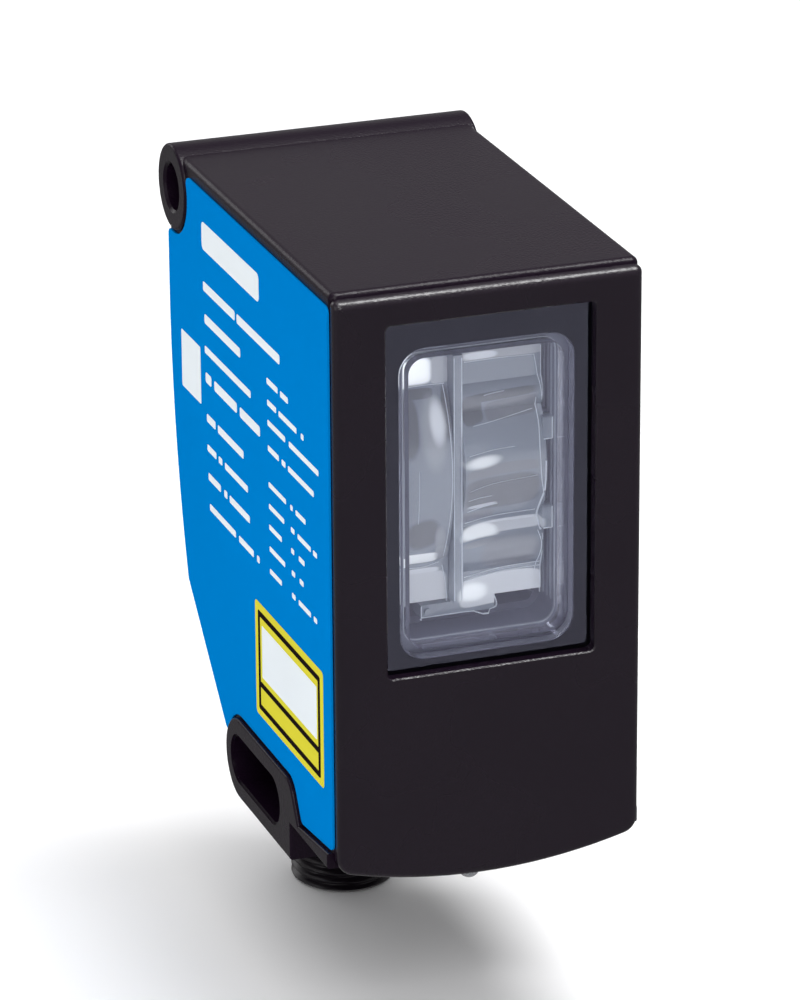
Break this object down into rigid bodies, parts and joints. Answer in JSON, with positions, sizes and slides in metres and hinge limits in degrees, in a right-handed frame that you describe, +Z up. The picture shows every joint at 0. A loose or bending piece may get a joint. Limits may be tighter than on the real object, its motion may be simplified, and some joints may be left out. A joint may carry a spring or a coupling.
{
  "type": "contrast sensor",
  "caption": "Compact optical sensor in a cast black housing with a front window over moulded lenses, a blue side film, a cross bore, a slotted foot and a swivelling round plug.",
  "frame": {"origin": "centre of the upper cross bore, at mid-width", "axes": "+X across the width along the cross bore, +Y to the back, away from the window, +Z up"},
  "size_m": [0.0356, 0.0587, 0.0888],
  "materials": {
    "housing_paint": "satin black powder coat",
    "cover_paint": "satin black paint",
    "window_clear": "clear moulded plastic",
    "seal_slate": "matt slate rubber",
    "label_film": "satin blue film",
    "holder_plastic": "matt dark moulded plastic",
    "lens_clear": "clear moulded plastic",
    "baffle_black": "matt black",
    "board_laminate": "green solder resist",
    "chip_black": "matt black moulding",
    "led_white": "milky clear resin",
    "screw_steel": "zinc plated",
    "socket_cream": "cream moulding",
    "ribbon_amber": "amber film",
    "panel_grey": "fine matt moulding",
    "button_grey": "soft matt moulding",
    "soft_black": "matt black rubber",
    "power_lens": "green tinted clear plastic",
    "output_lens": "amber tinted clear plastic",
    "dome_clear": "clear moulded plastic",
    "elbow_black": "satin black paint",
    "clip_steel": "spring steel",
    "thread_black": "black plated metal",
    "insert_black": "matt black moulding",
    "pin_gold": "gold plated"
  },
  "bodies": {
    "sensor_body": {"housing": "housing_paint", "front_cover": "cover_paint", "window_pane": "window_clear", "window_seal": "seal_slate", "side_label": "label_film", "lens_holder": "holder_plastic", "emitter_lens": "lens_clear", "receiver_lens": "lens_clear", "baffle_plate": "baffle_black", "optics_board": "board_laminate", "main_board": "board_laminate", "receiver_chip": "chip_black", "processor_chip": "chip_black", "key_switch": "chip_black", "emitter_leds": "led_white", "status_leds": "led_white", "optics_screws": "screw_steel", "optics_socket": "socket_cream", "main_socket": "socket_cream", "ribbon_link": "ribbon_amber", "rear_panel": "panel_grey", "panel_seal": "soft_black", "return_dome": "soft_black", "power_light_guide": "power_lens", "output_light_guide": "output_lens", "bottom_light_guide": "dome_clear"},
    "button": {"teach_button": "button_grey"},
    "plug": {"connector_elbow": "elbow_black", "swivel_seal": "soft_black", "swivel_clip": "clip_steel", "thread_sleeve": "thread_black", "contact_insert": "insert_black", "contact_pins": "pin_gold"}
  },
  "joints": [
    {"name": "plug_swivel", "type": "hinge", "parent": "sensor_body", "child": "plug", "pos_m": [0, -0.0083, -0.05131], "axis": [0, 0.7071, -0.7071], "range_deg": [0, 180]},
    {"name": "button_press", "type": "slide", "parent": "sensor_body", "child": "button", "axis": [0, -1, 0], "range_m": [0, 0.0008], "stiffness_N_per_m": 1200, "springref_m": -0.0003, "deforming": ["return_dome"]}
  ]
}
